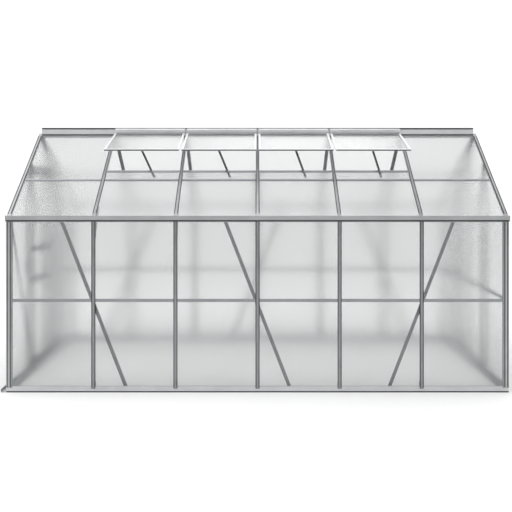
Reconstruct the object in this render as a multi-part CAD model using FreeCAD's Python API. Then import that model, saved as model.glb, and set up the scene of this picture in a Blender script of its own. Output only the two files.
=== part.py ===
"""Walk-in greenhouse: bolted aluminium extrusions glazed with twin-wall polycarbonate.

Millimetres, +Z up. X runs along the ridge, Y across it; the door is in the gable at -X and
the roof vents are on the slope at -Y. Z = 0 is the ground. Every extrusion is given as the
rectangles of its section: a runs across the bar, b runs from the outer plane of the wall or
roof inwards.
"""

import FreeCAD, Part

import math
import os

# Overall sizes
PITCH = 600.0  # width of a bay, walls and gables alike
LONG_BAYS = 6
GABLE_BAYS = 3
RIDGE_HEIGHT = 1929.0  # where the outer planes of the two roof slopes meet
EAVE_HEIGHT = 1281.0  # where a roof plane meets the outer plane of its wall

# Glazing
SHEET = 4.0  # thickness of a polycarbonate sheet
FIT = 0.3  # clearance each side of a sheet, and of a bar's end
SLOT = SHEET + 2 * FIT

# Posts and rafters
WALL = 2.0  # thickness of the aluminium
BAR = 28.0  # width of a post or a rafter
CHANNEL = 14.0  # width of the bolt channel inside it
CHANNEL_DEPTH = 11.4
LIP = 3.8  # each lip that closes the channel
LIP_THICK = 1.6
RIB = 3.0  # half width of the rib between the flanges
GROOVE = 8.0  # shallow groove down the outer face
GROOVE_DEPTH = 1.0
CORNER_X = 46.0  # corner bar, along the length
CORNER_Y = 34.0  # corner bar, across
CORNER_TUBE = 22.0
VERGE_X = 32.0  # verge bar, along the length
CORNER_INSET = 9.0  # last bay line to the corner bar's inner edge

# Base
BASE_HEIGHT = 44.0
BASE_BAND = 20.0  # lower band, proud of the wall
BASE_PROUD = 3.0
BASE_FOOT = 40.0
FOOT = 2.5  # thickness of the foot that lies on the ground
BASE_LIP = 12.0
ANCHOR_HOLE = 9.0
ANCHOR_SPAN_X = 5 * PITCH
ANCHOR_INSET = 10.0  # from the foot's inner edge

# Middle strips
STRIP_HEIGHT = 672.0
STRIP = 22.0

# Gutter
GUTTER_BOTTOM = EAVE_HEIGHT - 37.0
GUTTER_TOP = EAVE_HEIGHT + 11.0
GUTTER_PROUD = 12.0
GUTTER_FLOOR = EAVE_HEIGHT - 29.0
GUTTER_BACK = 10.0
GUTTER_RIB = 1.0
CAP = 3.0

# Ridge
RIDGE_TOP = RIDGE_HEIGHT + 47.0
RIDGE_PLATE = 24.0
RIDGE_FACE = 10.0  # half width over the fascias
RIDGE_WEB_BOTTOM = RIDGE_HEIGHT - 39.0
RIDGE_SEAT = 30.0  # slope length of the sheet slots
RIDGE_SEAT_BACK = 10.0  # where their outer lip starts
FASCIA_LAP = 1.5  # fascia into the lip below it

# Roof strips and vent sills, as distances down the slope from the ridge
FRONT_STRIP_AT = 662.0
REAR_STRIP_AT = 615.0
SILL_AT = 547.0
SILL = 20.0

# Braces
BRACE = 25.0
BRACE_REACH = 236.0  # half the sideways run
BRACE_LIP = 10.0

# Gussets and cleats
GUSSET = 3.0
RIDGE_GUSSET = 150.0
EAVE_GUSSET = 120.0
CLEAT_HEIGHT = 58.0
CLEAT_DROP = 24.0  # below the base rail's top
CLEAT_HOLES = (12.0, 44.0)  # above the cleat's foot
CORNER_CLEAT = 40.0  # each leaf of the angle in a base corner
CORNER_CLEAT_HEIGHT = 30.0

# Bolts
BOLT = 6.0
BOLT_HOLE = 6.6
HEAD = 9.4
HEAD_HEIGHT = 4.0
NUT_HEIGHT = 5.0

# Vents
HINGE_Y = 10.0  # hinge line, out from the ridge's middle
HINGE_Z = RIDGE_HEIGHT + 37.0
KNUCKLE = 4.0
HINGE_GAP = 0.3
VENT_GAP = 16.0  # between neighbouring vents
VENT_RISE = 3.7  # underside of a closed vent above the roof plane
VENT_BAR = 16.0
VENT_END = 565.0  # lower edge, from the ridge down the slope
VENT_BOX = 25.0  # width of the top rail's raised leaf
VENT_OPEN = 19.0  # degrees open as built

# Stays
STAY = 16.0
STAY_THICK = 2.5
STAY_LENGTH = 262.0
STAY_HOLE = 5.0
STAY_HOLES = 9
STAY_LEAN = 60.0  # sideways lean at the sill
STAY_PIVOT_U = 529.0
STAY_PIVOT_V = -9.0
STAY_RIVET = 4.4
PEG = 4.0
PEG_LENGTH = 2.5
PEG_GAP = 0.8

# Door
HEAD_RAIL_AT = 1600.0  # middle of the rail over the doorway
HEAD_RAIL = 20.0
DOOR_GAP = 4.0  # wall plane to the leaf
DOOR_THICK = 14.0
DOOR_WIDTH = PITCH
DOOR_BOTTOM = 34.0
DOOR_TOP = 1612.0
DOOR_RAIL = 36.0
DOOR_RAIL_HEIGHTS = (720.0, 970.0)
SHEET_BITE = 10.0
HEAD_OUT = 24.0  # outer face of the head track
HEAD_LIP = 8.0
HEAD_TRACK_LOW = 1618.0
HEAD_TRACK_TOP = 1654.0
HEAD_TRACK_START = 54.0 - DOOR_WIDTH / 2
HEAD_TRACK_END = DOOR_WIDTH + 190.0
GUIDE_OUT = 40.0  # outer face of the bottom track
GUIDE_FLOOR = 6.0
GUIDE_TOP = 24.0
GUIDE_LENGTH = 40.0
ROLLER = 20.0
ROLLER_WIDTH = 6.0
ROLLER_INSET = 75.0  # from the leaf's edges
ROLLER_PIN = 6.0
ROLLER_PLAY = 0.05
HANDLE_HEIGHT = 845.0
HANDLE = 120.0

V = FreeCAD.Vector
X, Y, Z = V(1, 0, 0), V(0, 1, 0), V(0, 0, 1)

HALF_X = LONG_BAYS * PITCH / 2 + CORNER_X - CORNER_INSET
HALF_Y = GABLE_BAYS * PITCH / 2 + CORNER_Y - CORNER_INSET
SLOPE = math.atan2(RIDGE_HEIGHT - EAVE_HEIGHT, HALF_Y)
INNER = WALL + SLOT  # outer side of the inner flange
DEPTH = INNER + WALL + CHANNEL_DEPTH  # whole depth of a post or a rafter
LEFT_OUT = HALF_X + GUIDE_OUT
RIGHT_OUT = HALF_X + CAP
SHIFT = V((LEFT_OUT - RIGHT_OUT) / 2, 0, 0)  # puts the origin in the middle of the whole object

os.makedirs("parts", exist_ok=True)


def frame(centre, across, depth):
    """Placement that takes a bar's own a, b and length to the greenhouse."""
    along = across.cross(depth)
    matrix = FreeCAD.Matrix(
        across.x, depth.x, along.x, centre.x,
        across.y, depth.y, along.y, centre.y,
        across.z, depth.z, along.z, centre.z,
        0, 0, 0, 1,
    )
    return FreeCAD.Placement(matrix)


def join(shapes):
    """One solid from shapes that share volume."""
    whole = shapes[0] if len(shapes) == 1 else shapes[0].multiFuse(shapes[1:])
    return whole.removeSplitter().Solids[0] if len(shapes) > 1 else whole


def bar(walls, length, centre, across, depth):
    """An extrusion, half its length each way from centre."""
    boxes = [
        Part.makeBox(a1 - a0, b1 - b0, length, V(a0, b0, -length / 2))
        for a0, a1, b0, b1 in walls
    ]
    shape = join(boxes)
    shape.transformShape(frame(centre, across, depth).toMatrix())
    return shape


def plate(outline, b0, b1, origin, across, depth):
    """A flat plate: outline in (across, up), from b0 to b1 along depth."""
    up = across.cross(depth)
    points = [origin + across * a + up * c + depth * b0 for a, c in outline]
    face = Part.Face(Part.makePolygon(points + points[:1]))
    return face.extrude(depth * (b1 - b0))


def pin(centre, axis, radius, length):
    """A cylinder with centre in its middle."""
    start = centre - axis * (length / 2)
    return Part.makeCylinder(radius, length, start, axis)


def bolt(head, axis, grip):
    """Hexagon bolt and nut: head against the plate at head, the nut grip further along axis."""
    def hexagon(start, height):
        side = X if abs(axis.x) < 0.5 else Y
        side = side.sub(axis * side.dot(axis)).normalize()
        other = axis.cross(side)
        corners = []
        for k in range(6):
            turn = math.radians(60 * k)
            corners.append(start + (side * math.cos(turn) + other * math.sin(turn)) * (HEAD / 2))
        return Part.Face(Part.makePolygon(corners + corners[:1])).extrude(axis * height)

    shank = Part.makeCylinder(BOLT / 2, grip + NUT_HEIGHT + 4, head, axis)
    bolt_head = hexagon(head - axis * HEAD_HEIGHT, HEAD_HEIGHT)
    return join([bolt_head, shank, hexagon(head + axis * grip, NUT_HEIGHT)])


def save(name, solids):
    """Write a node, each of its pieces a separate solid, about the shared origin."""
    group = Part.makeCompound([solid.translated(SHIFT) for solid in solids])
    group.exportStep("parts/" + name + ".step")
    print(name, len(group.Solids), round(group.Volume))


class Wall:
    """A wall's outer plane: its foot in the middle, the way along it and the way in."""

    def __init__(self, origin, across, depth):
        self.origin, self.across, self.depth = origin, across, depth

    def point(self, a, b, z):
        return self.origin + self.across * a + self.depth * b + Z * z

    def post(self, walls, a, z0, z1):
        return bar(walls, z1 - z0, self.point(a, 0, (z0 + z1) / 2), self.across, self.depth)

    def rail(self, walls, a, z, length):
        """A level bar; its section is (height above z, depth)."""
        return bar(walls, length, self.point(a, 0, z), Z, self.depth)

    def sheet(self, outline):
        """Glazing in the sheet slot, outline in (across, height)."""
        low, high = WALL + FIT, WALL + FIT + SHEET
        return plate(outline, low, high, self.origin, self.across, self.depth)


FRONT = Wall(V(0, -HALF_Y, 0), X, Y)
REAR = Wall(V(0, HALF_Y, 0), -X, -Y)
RIGHT = Wall(V(HALF_X, 0, 0), Y, -X)
LEFT = Wall(V(-HALF_X, 0, 0), -Y, X)


class Slope:
    """A roof slope: u runs down from the ridge, n points inwards."""

    def __init__(self, side):
        self.side = side
        self.u = V(0, side * math.cos(SLOPE), -math.sin(SLOPE))
        self.n = V(0, -side * math.sin(SLOPE), -math.cos(SLOPE))

    def point(self, x, u, v):
        """v is height above the roof plane."""
        return V(x, 0, RIDGE_HEIGHT) + self.u * u - self.n * v

    def rafter(self, walls, x, u0, u1, across=X):
        return bar(walls, u1 - u0, self.point(x, (u0 + u1) / 2, 0), across, self.n)

    def crossbar(self, walls, x, u, length):
        """A level bar; its section is (down the slope, inwards)."""
        return bar(walls, length, self.point(x, u, 0), self.u, self.n)

    def sheet(self, x, width, u0, u1):
        low = WALL + FIT
        return self.rafter([(-width / 2, width / 2, low, low + SHEET)], x, u0, u1)


FRONT_ROOF = Slope(-1)
REAR_ROOF = Slope(1)
SLOPE_LENGTH = HALF_Y / math.cos(SLOPE)


def roof_height(y):
    """Height of the roof's outer plane above the ground."""
    return RIDGE_HEIGHT - abs(y) * math.tan(SLOPE)


# Sections shared by several pieces
half = BAR / 2
post_section = [
    (-half, -GROOVE / 2, 0, WALL),
    (GROOVE / 2, half, 0, WALL),
    (-half, half, GROOVE_DEPTH, WALL),
    (-RIB, RIB, WALL, INNER),
    (-half, half, INNER, INNER + WALL),
    (-CHANNEL / 2, WALL - CHANNEL / 2, INNER, DEPTH),
    (CHANNEL / 2 - WALL, CHANNEL / 2, INNER, DEPTH),
    (-CHANNEL / 2, LIP - CHANNEL / 2, DEPTH - LIP_THICK, DEPTH),
    (CHANNEL / 2 - LIP, CHANNEL / 2, DEPTH - LIP_THICK, DEPTH),
]
flange_section = post_section[:3]
tube = CORNER_TUBE


def corner_section(long_wing, short_wing):
    """Square tube with a pair of wings along each of the two planes that meet at it."""
    return [
        (0, long_wing, 0, WALL),
        (0, tube, tube - WALL, tube),
        (0, WALL, 0, short_wing),
        (tube - WALL, tube, 0, tube),
        (tube - WALL, long_wing, INNER, INNER + WALL),
        (INNER, INNER + WALL, tube - WALL, short_wing),
    ]


strip_section = [
    (-STRIP / 2, STRIP / 2, 0, WALL),
    (-1, 1, 0, INNER + WALL),
    (-STRIP / 2, STRIP / 2, INNER, INNER + WALL),
]
angle_section = [(-BRACE / 2, BRACE / 2, 0, WALL), (BRACE / 2 - WALL, BRACE / 2, 0, BRACE_LIP)]

long_posts = [(i - LONG_BAYS / 2) * PITCH for i in range(1, LONG_BAYS)]
long_bays = [(i - LONG_BAYS / 2 + 0.5) * PITCH for i in range(LONG_BAYS)]
gable_posts = [(i - GABLE_BAYS / 2) * PITCH for i in range(1, GABLE_BAYS)]
gable_bays = [(i - GABLE_BAYS / 2 + 0.5) * PITCH for i in range(GABLE_BAYS)]
vent_bays = long_bays[1:-1]
BOLT_LINE = DEPTH - 5.5  # depth of the bolts that cross a channel
RIDGE_BOLTS = (RIDGE_SEAT + 30, RIDGE_GUSSET - 20)
POST_FOOT = BASE_HEIGHT - BASE_LIP - 6  # the outer flange runs down over the base
post_low = BASE_HEIGHT + FIT
wall_top = GUTTER_FLOOR - WALL - FIT
bolts = []


# Base rails: lower band, recess and a lip that holds the sheets; a closed box behind
def base_section():
    floor = BASE_HEIGHT - BASE_LIP
    return [
        (0, FOOT, -BASE_PROUD, BASE_FOOT),
        (0, BASE_BAND, -BASE_PROUD, WALL - BASE_PROUD),
        (BASE_BAND - WALL, BASE_BAND, -BASE_PROUD, INNER - 1),
        (BASE_BAND - WALL, floor + WALL, INNER - 3, INNER - 1),
        (floor, floor + WALL, 0, DEPTH),
        (floor, BASE_HEIGHT, 0, WALL),
        (floor, BASE_HEIGHT, INNER, INNER + WALL),
        (0, BASE_HEIGHT, DEPTH - WALL, DEPTH),
    ]


def post_notches(wall, posts):
    """Cuts in a base rail's outer lip where the posts pass in front of it."""
    reach = half + FIT
    drop = BASE_HEIGHT - POST_FOOT + FIT
    section = [(-reach, reach, -1, WALL + FIT)]
    return [
        bar(section, 2 * drop, wall.point(a, 0, BASE_HEIGHT), wall.across, wall.depth)
        for a in posts
    ]


def corner_notches(wall):
    """Cuts at both ends of a long base rail, where the corner posts stand in it."""
    reach = CORNER_X / 2 + 1 + FIT
    lip = BASE_LIP - WALL - FIT
    section = [(-reach, reach, -1, DEPTH + 1)]
    cuts = []
    for side in (-1, 1):
        centre = wall.point(side * (HALF_X - CORNER_X / 2 + 1), 0, BASE_HEIGHT)
        cuts.append(bar(section, 2 * lip, centre, wall.across, wall.depth))
    return cuts


def base_rails():
    gable_length = 2 * (HALF_Y - BASE_FOOT - FIT)
    for name, wall in (("base_left", LEFT), ("base_right", RIGHT)):
        rail = wall.rail(base_section(), 0, 0, gable_length)
        cuts = post_notches(wall, gable_posts)
        save(name, rail.cut(Part.makeCompound(cuts)).Solids)
    for name, wall in (("base_front", FRONT), ("base_rear", REAR)):
        rail = wall.rail(base_section(), 0, 0, 2 * HALF_X)
        cuts = post_notches(wall, long_posts) + corner_notches(wall)
        for side in (-1, 1):
            hole_at = wall.point(side * ANCHOR_SPAN_X / 2, BASE_FOOT - ANCHOR_INSET, 0)
            cuts.append(pin(hole_at, Z, ANCHOR_HOLE / 2, 20))
        save(name, rail.cut(Part.makeCompound(cuts)).Solids)


def corner_cleats():
    """Angle inside each base corner that ties the two rails together."""
    section = [(0, CORNER_CLEAT, 0, WALL), (0, WALL, 0, CORNER_CLEAT)]
    middle = FOOT + CORNER_CLEAT_HEIGHT / 2
    solids = []
    for wall in (FRONT, REAR):
        for side in (-1, 1):
            corner = wall.point(side * (HALF_X - DEPTH), BASE_FOOT + FIT, middle)
            solids.append(bar(section, CORNER_CLEAT_HEIGHT, corner, wall.across * -side, wall.depth))
    return solids


def cleat(wall, a):
    """Plate that bolts a post to the base rail from inside."""
    low = BASE_HEIGHT - CLEAT_DROP
    section = [(-half, half, DEPTH, DEPTH + WALL)]
    body = wall.post(section, a, low, low + CLEAT_HEIGHT)
    for rise in CLEAT_HOLES:
        body = body.cut(pin(wall.point(a, DEPTH, low + rise), wall.depth, BOLT_HOLE / 2, 12))
    under_lips = wall.point(a, DEPTH - LIP_THICK, low + CLEAT_HOLES[1])
    bolts.append(bolt(under_lips, wall.depth, WALL + LIP_THICK))
    return body


def posts():
    long_set = [(wall, a) for wall in (FRONT, REAR) for a in long_posts]
    solids = []
    for wall, a in long_set:
        whole = wall.post(post_section, a, post_low, wall_top)
        foot = wall.post(flange_section, a, POST_FOOT, post_low + 1)
        solids.append(join([whole, foot]))
    save("front_posts", solids[:len(long_posts)])
    save("rear_posts", solids[len(long_posts):])
    for name, wall in (("right_gable_posts", RIGHT), ("door_posts", LEFT)):
        gable = []
        for a in gable_posts:
            top = roof_height(a) - 2
            whole = wall.post(post_section, a, post_low, top + 100)
            foot = wall.post(flange_section, a, POST_FOOT, post_low + 1)
            gable.append(join([whole, foot]).cut(above_verges(CORNER_Y + FIT)).Solids[0])
        save(name, gable)
    cleats = [cleat(wall, a) for wall, a in long_set]
    cleats += [cleat(wall, a) for wall in (RIGHT, LEFT) for a in gable_posts]
    save("post_cleats", cleats)


def above_verges(below):
    """Everything above a line that runs below the roof plane by the given amount."""
    drop = below / math.cos(SLOPE)
    far = HALF_Y + 200
    outline = [(-far, roof_height(far) - drop), (0, RIDGE_HEIGHT - drop),
               (far, roof_height(far) - drop), (far, RIDGE_HEIGHT + 300), (-far, RIDGE_HEIGHT + 300)]
    return plate(outline, -HALF_X - 100, HALF_X + 100, V(0, 0, 0), Y, X * -1)


def corner_posts():
    solids = []
    low = BASE_HEIGHT - BASE_LIP + WALL + FIT
    for x_side in (-1, 1):
        for y_side in (-1, 1):
            corner = V(x_side * HALF_X, y_side * HALF_Y, (low + wall_top) / 2)
            section = corner_section(CORNER_X, CORNER_Y)
            solids.append(bar(section, wall_top - low, corner, X * -x_side, Y * -y_side))
    return solids


def middle_strips():
    """H strips that join the lower and the upper sheet in each bay."""
    solids = []
    for wall in (FRONT, REAR):
        for a in long_bays:
            span, middle = clear_span(a, PITCH, len(long_bays), HALF_X - CORNER_X)
            solids.append(wall.rail(strip_section, middle, STRIP_HEIGHT, span))
    for a in gable_bays:
        span, middle = clear_span(a, PITCH, len(gable_bays), HALF_Y - CORNER_Y)
        solids.append(RIGHT.rail(strip_section, middle, STRIP_HEIGHT, span))
    return solids


def clear_span(a, pitch, bays, end):
    """Length and middle of what fits between a bay's two uprights."""
    low = max(a - pitch / 2 + half, -end) if a - pitch / 2 > -bays * pitch / 2 + 1 else -end
    high = min(a + pitch / 2 - half, end) if a + pitch / 2 < bays * pitch / 2 - 1 else end
    return high - low - 2 * FIT, (low + high) / 2


def gutters():
    face = -GUTTER_PROUD
    section = [
        (GUTTER_FLOOR - WALL, GUTTER_TOP, face, face + WALL),
        (GUTTER_FLOOR - WALL, GUTTER_FLOOR, face, DEPTH),
        (GUTTER_FLOOR - WALL, roof_height(HALF_Y - GUTTER_BACK) - 2, GUTTER_BACK - WALL, GUTTER_BACK),
        (GUTTER_BOTTOM, GUTTER_FLOOR, 0, WALL),
        (GUTTER_BOTTOM, GUTTER_FLOOR, INNER, INNER + WALL),
        (GUTTER_TOP - WALL, GUTTER_TOP, face, face + 5),
        (GUTTER_TOP - 16, GUTTER_TOP - 12, face - GUTTER_RIB, face + 1),
        (GUTTER_TOP - 28, GUTTER_TOP - 24, face - GUTTER_RIB, face + 1),
    ]
    for name, wall in (("front_gutter", FRONT), ("rear_gutter", REAR)):
        rail = wall.rail(section, 0, 0, 2 * HALF_X)
        cuts = []
        notch = 2 * (GUTTER_FLOOR - WALL - GUTTER_BOTTOM)
        for a in long_posts:
            centre = wall.point(a, 0, GUTTER_BOTTOM)
            reach = half + FIT
            cuts.append(bar([(-reach, reach, -1, DEPTH + 1)], notch, centre, wall.across, wall.depth))
        for side in (-1, 1):
            centre = wall.point(side * (HALF_X - CORNER_X / 2), 0, GUTTER_BOTTOM)
            reach = CORNER_X / 2 + FIT
            cuts.append(bar([(-reach, reach, -1, DEPTH + 1)], notch, centre, wall.across, wall.depth))
        save(name, rail.cut(Part.makeCompound(cuts)).Solids)
    caps = []
    for wall in (FRONT, REAR):
        for side in (-1, 1):
            outline = [(GUTTER_FLOOR - WALL, GUTTER_TOP, face - GUTTER_RIB, GUTTER_BACK)]
            centre = wall.point(side * (HALF_X + CAP / 2), 0, 0)
            plug = [(GUTTER_FLOOR + FIT, GUTTER_TOP - WALL - FIT,
                     face + WALL + FIT, GUTTER_BACK - WALL - FIT)]
            inner = wall.point(side * (HALF_X - 2), 0, 0)
            outer_cap = bar(outline, CAP, centre, Z, wall.depth)
            caps.append(join([outer_cap, bar(plug, 6, inner, Z, wall.depth)]))
    save("gutter_end_caps", caps)


def ridge_beam():
    """Top plate over two hinge ledges, fascias, a middle web and a sheet seat on each slope."""
    ledge = HINGE_Z - KNUCKLE - HINGE_GAP
    seat_top = roof_height(RIDGE_FACE) - FASCIA_LAP
    section = [
        (-RIDGE_PLATE / 2, RIDGE_PLATE / 2, RIDGE_TOP - 3, RIDGE_TOP),
        (-1.5, 1.5, RIDGE_WEB_BOTTOM, RIDGE_TOP),
        (-RIDGE_FACE, RIDGE_FACE, ledge - WALL, ledge),
        (-RIDGE_FACE, WALL - RIDGE_FACE, seat_top, ledge),
        (RIDGE_FACE - WALL, RIDGE_FACE, seat_top, ledge),
    ]
    length = 2 * (HALF_X - CORNER_TUBE - FIT)
    parts = [bar(section, length, V(0, 0, 0), Y, Z)]
    for slope in (FRONT_ROOF, REAR_ROOF):
        back = RIDGE_SEAT_BACK - RIDGE_SEAT / 2
        seat = [
            (back, RIDGE_SEAT / 2, 0, WALL),
            (-RIDGE_SEAT / 2, RIDGE_SEAT / 2, INNER, INNER + WALL),
            (back, back + WALL, 0, INNER + WALL),
        ]
        parts.append(slope.crossbar(seat, 0, RIDGE_SEAT / 2, length))
    save("ridge_beam", [join(parts)])


def rafters():
    top = RIDGE_SEAT + FIT
    low = SLOPE_LENGTH - (GUTTER_BACK + 1) / math.cos(SLOPE) - (DEPTH * math.tan(SLOPE))
    for name, slope in (("front_rafters", FRONT_ROOF), ("rear_rafters", REAR_ROOF)):
        solids = []
        for x in long_posts:
            inner = slope.rafter(post_section, x, top, low)
            outer = slope.rafter(flange_section, x, top, low + 10)
            holes = [pin(slope.point(x, u, -BOLT_LINE), X, BOLT_HOLE / 2, BAR) for u in RIDGE_BOLTS]
            solids.append(join([inner, outer]).cut(Part.makeCompound(holes)).Solids[0])
        save(name, solids)
    verges = []
    for side in (-1, 1):
        for slope in (FRONT_ROOF, REAR_ROOF):
            section = corner_section(VERGE_X, CORNER_Y)
            piece = slope.rafter(section, side * HALF_X, 0, SLOPE_LENGTH + 40, X * -side)
            verges.append(piece.cut(verge_trim()).Solids[0])
    save("verge_rafters", verges)


def verge_trim():
    """Cuts the verge bars plumb at the ridge and clear of the gutters."""
    deep = 400
    wide = 2 * HALF_X + 200
    middle = Part.makeBox(wide, 2 * FIT, deep * 2, V(-wide / 2, -FIT, RIDGE_HEIGHT - deep))
    eaves = []
    for side in (-1, 1):
        low_y = side * (HALF_Y - GUTTER_BACK - FIT)
        start = min(low_y, low_y + side * 300)
        eaves.append(Part.makeBox(wide, 300, deep, V(-wide / 2, start, EAVE_HEIGHT - deep / 2)))
        under = min(0, side * HALF_Y)
        eaves.append(Part.makeBox(wide, HALF_Y, deep, V(-wide / 2, under, GUTTER_FLOOR + FIT - deep)))
    reach = RIDGE_SEAT * math.cos(SLOPE) + FIT
    under_ridge = Part.makeBox(2 * (HALF_X - CORNER_TUBE), 2 * reach, deep,
                               V(CORNER_TUBE - HALF_X, -reach, RIDGE_HEIGHT - deep / 2))
    return Part.makeCompound([middle, under_ridge] + eaves)


def roof_strips():
    """H strips that join the upper and the lower roof sheet in each bay."""
    solids = []
    for slope, at in ((FRONT_ROOF, FRONT_STRIP_AT), (REAR_ROOF, REAR_STRIP_AT)):
        for x in long_bays:
            span, middle = clear_span(x, PITCH, len(long_bays), HALF_X - VERGE_X)
            solids.append(slope.crossbar(strip_section, middle, at, span))
    return solids


def sills():
    """The bar under each vent's lower edge, where the sheet below it starts."""
    section = [
        (-SILL / 2, SILL / 2, 0, WALL),
        (-1, 1, 0, INNER + WALL),
        (-SILL / 2, SILL / 2, INNER, INNER + WALL),
    ]
    return [FRONT_ROOF.crossbar(section, x, SILL_AT, PITCH - BAR - 2 * FIT) for x in vent_bays]


def brace(wall, a, lean, reach, low, high):
    """Angle bar against the inside of a post, from the base rail to the eave."""
    run = V(2 * reach * lean, 0, high - low)
    length = run.Length
    along = (wall.across * run.x + Z * run.z).normalize()
    across = wall.depth.cross(along)
    centre = wall.point(a, DEPTH, (low + high) / 2)
    shape = bar(angle_section, length, centre, across, wall.depth)
    for z in (low + 8, high - 8):
        offset = (z - (low + high) / 2) / along.z
        spot = centre + along * offset
        shape = shape.cut(pin(spot, wall.depth, BOLT_HOLE / 2, 12))
    return shape


def braces():
    low, high = BASE_HEIGHT - 12, wall_top - 2
    solids = []
    for wall in (FRONT, REAR):
        for index, lean in ((0, -1), (2, -1), (4, 1)):
            solids.append(brace(wall, long_posts[index] * wall.across.x, lean, BRACE_REACH, low, high))
    save("wall_braces", solids)
    gable = []
    for side in (-1, 1):
        reach = (PITCH - BAR - 40) / 2
        gable.append(brace(LEFT, side * PITCH, side, reach, low, high))
    save("gable_braces", gable)


def gusset(outline, x):
    """Plate across the greenhouse against one side of a bolt channel; outline in (y, z)."""
    start = x + CHANNEL / 2
    return plate([(y, z) for y, z in outline], start, start + GUSSET, V(0, 0, 0), Y * -1, X)


def gussets():
    ridge, eave = [], []
    deep = DEPTH + 20

    def spot(u, v):
        at = REAR_ROOF.point(0, u, v)
        return at.y, at.z

    def both(points):
        return [(-y, z) for y, z in points] + [(y, z) for y, z in reversed(points)]

    shallow = INNER + WALL + 0.5
    half_ridge = [spot(RIDGE_SEAT + 5, -shallow), spot(RIDGE_GUSSET, -shallow),
                  spot(RIDGE_GUSSET, -deep), spot(RIDGE_SEAT + 40, -deep - 10)]
    ridge_outline = both(half_ridge)
    for x in long_posts:
        plate_in = gusset(ridge_outline, x)
        for side, slope in ((-1, FRONT_ROOF), (1, REAR_ROOF)):
            for u in RIDGE_BOLTS:
                at = slope.point(x, u, -BOLT_LINE)
                plate_in = plate_in.cut(pin(at, X, BOLT_HOLE / 2, 40))
                bolts.append(side_bolt(at))
        web = Part.makeBox(40, 2 * 1.9, 300, V(x - 10, -1.9, RIDGE_WEB_BOTTOM - 1))
        ridge.extend(plate_in.cut(web).Solids)
    low_u = SLOPE_LENGTH - EAVE_GUSSET - 40
    inside = HALF_Y - (INNER + WALL + 0.5)
    foot = wall_top - EAVE_GUSSET
    over_post = HALF_Y - 24
    behind_post = HALF_Y - DEPTH - 0.5
    for slope in (FRONT_ROOF, REAR_ROOF):
        for x in long_posts:
            top_in = slope.point(0, low_u, -shallow)
            top_low = slope.point(0, low_u, -deep)
            outline = [(abs(top_in.y), top_in.z),
                       (over_post, roof_height(over_post) - shallow / math.cos(SLOPE)),
                       (over_post, wall_top + WALL + 2 * FIT), (behind_post, wall_top + WALL + 2 * FIT),
                       (behind_post, wall_top - 1), (inside, wall_top - 1), (inside, foot),
                       (HALF_Y - deep, foot), (HALF_Y - deep - 30, wall_top - 60),
                       (abs(top_low.y), top_low.z)]
            eave.append(gusset([(-slope.side * y, z) for y, z in outline], x))
    save("ridge_gussets", ridge)
    save("eave_gussets", eave)


def side_bolt(at):
    """Bolt through both walls of a bolt channel and the gusset beside it."""
    return bolt(at - X * (CHANNEL / 2), X, CHANNEL + GUSSET)


def wall_sheets():
    """Two sheets in every bay of the long walls, split by the middle strip."""
    low = BASE_HEIGHT - BASE_LIP + WALL + FIT
    gap = 1 + FIT
    for name, wall in (("front_wall_sheets", FRONT), ("rear_wall_sheets", REAR)):
        solids = []
        for a in long_bays:
            left, right = slot_edges(a, long_bays, HALF_X - tube)
            for z0, z1 in ((low, STRIP_HEIGHT - gap), (STRIP_HEIGHT + gap, wall_top)):
                solids.append(wall.sheet([(left, z0), (right, z0), (right, z1), (left, z1)]))
        save(name, solids)


def slot_edges(a, bays, end):
    """Where a sheet's two edges sit in the slots of the uprights beside it."""
    reach = PITCH / 2 - RIB - FIT
    left = -end + FIT if a == bays[0] else a - reach
    right = end - FIT if a == bays[-1] else a + reach
    return left, right


def gable_outline(left, right, z0, drop):
    """A sheet with level foot whose top follows the roof."""
    top = [(right, roof_height(right) - drop)]
    if left < 0 < right:
        top.append((0, RIDGE_HEIGHT - drop))
    top.append((left, roof_height(left) - drop))
    return [(left, z0), (right, z0)] + top


def gable_sheets():
    low = BASE_HEIGHT - BASE_LIP + WALL + FIT
    gap = 1 + FIT
    drop = (tube + FIT) / math.cos(SLOPE)
    right_set, left_set = [], []
    for a in gable_bays:
        left, right = slot_edges(a, gable_bays, HALF_Y - tube)
        z1 = STRIP_HEIGHT - gap
        right_set.append(RIGHT.sheet([(left, low), (right, low), (right, z1), (left, z1)]))
        right_set.append(RIGHT.sheet(gable_outline(left, right, STRIP_HEIGHT + gap, drop)))
        if abs(a) > 1:
            left_set.append(LEFT.sheet(gable_outline(left, right, low, drop)))
        else:
            left_set.append(LEFT.sheet(gable_outline(left, right, HEAD_RAIL_AT + gap, drop)))
    save("right_gable_sheets", right_set)
    save("left_gable_sheets", left_set)


def roof_sheets():
    """Two sheets in every bay of a slope; under a vent the upper one is short, below its sill."""
    gap = 1 + FIT
    eave = SLOPE_LENGTH - (GUTTER_BACK + 1) / math.cos(SLOPE) - DEPTH * math.tan(SLOPE) + 8
    top = max(RIDGE_SEAT_BACK + WALL, RIDGE_FACE / math.cos(SLOPE)) + FIT
    front, rear = [], []
    for x in long_bays:
        left, right = slot_edges(x, long_bays, HALF_X - tube)
        width, middle = right - left, (left + right) / 2
        start = SILL_AT + gap if x in vent_bays else top
        front.append(FRONT_ROOF.sheet(middle, width, start, FRONT_STRIP_AT - gap))
        front.append(FRONT_ROOF.sheet(middle, width, FRONT_STRIP_AT + gap, eave))
        rear.append(REAR_ROOF.sheet(middle, width, top, REAR_STRIP_AT - gap))
        rear.append(REAR_ROOF.sheet(middle, width, REAR_STRIP_AT + gap, eave))
    save("front_roof_sheets", front)
    save("rear_roof_sheets", rear)


def hinged(solids):
    """Turn closed-vent solids about the hinge line to the angle they are built at."""
    turned = []
    for solid in solids:
        copy = solid.copy()
        copy.rotate(V(0, -HINGE_Y, HINGE_Z), V(-1, 0, 0), VENT_OPEN)
        turned.append(copy)
    return turned


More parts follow.
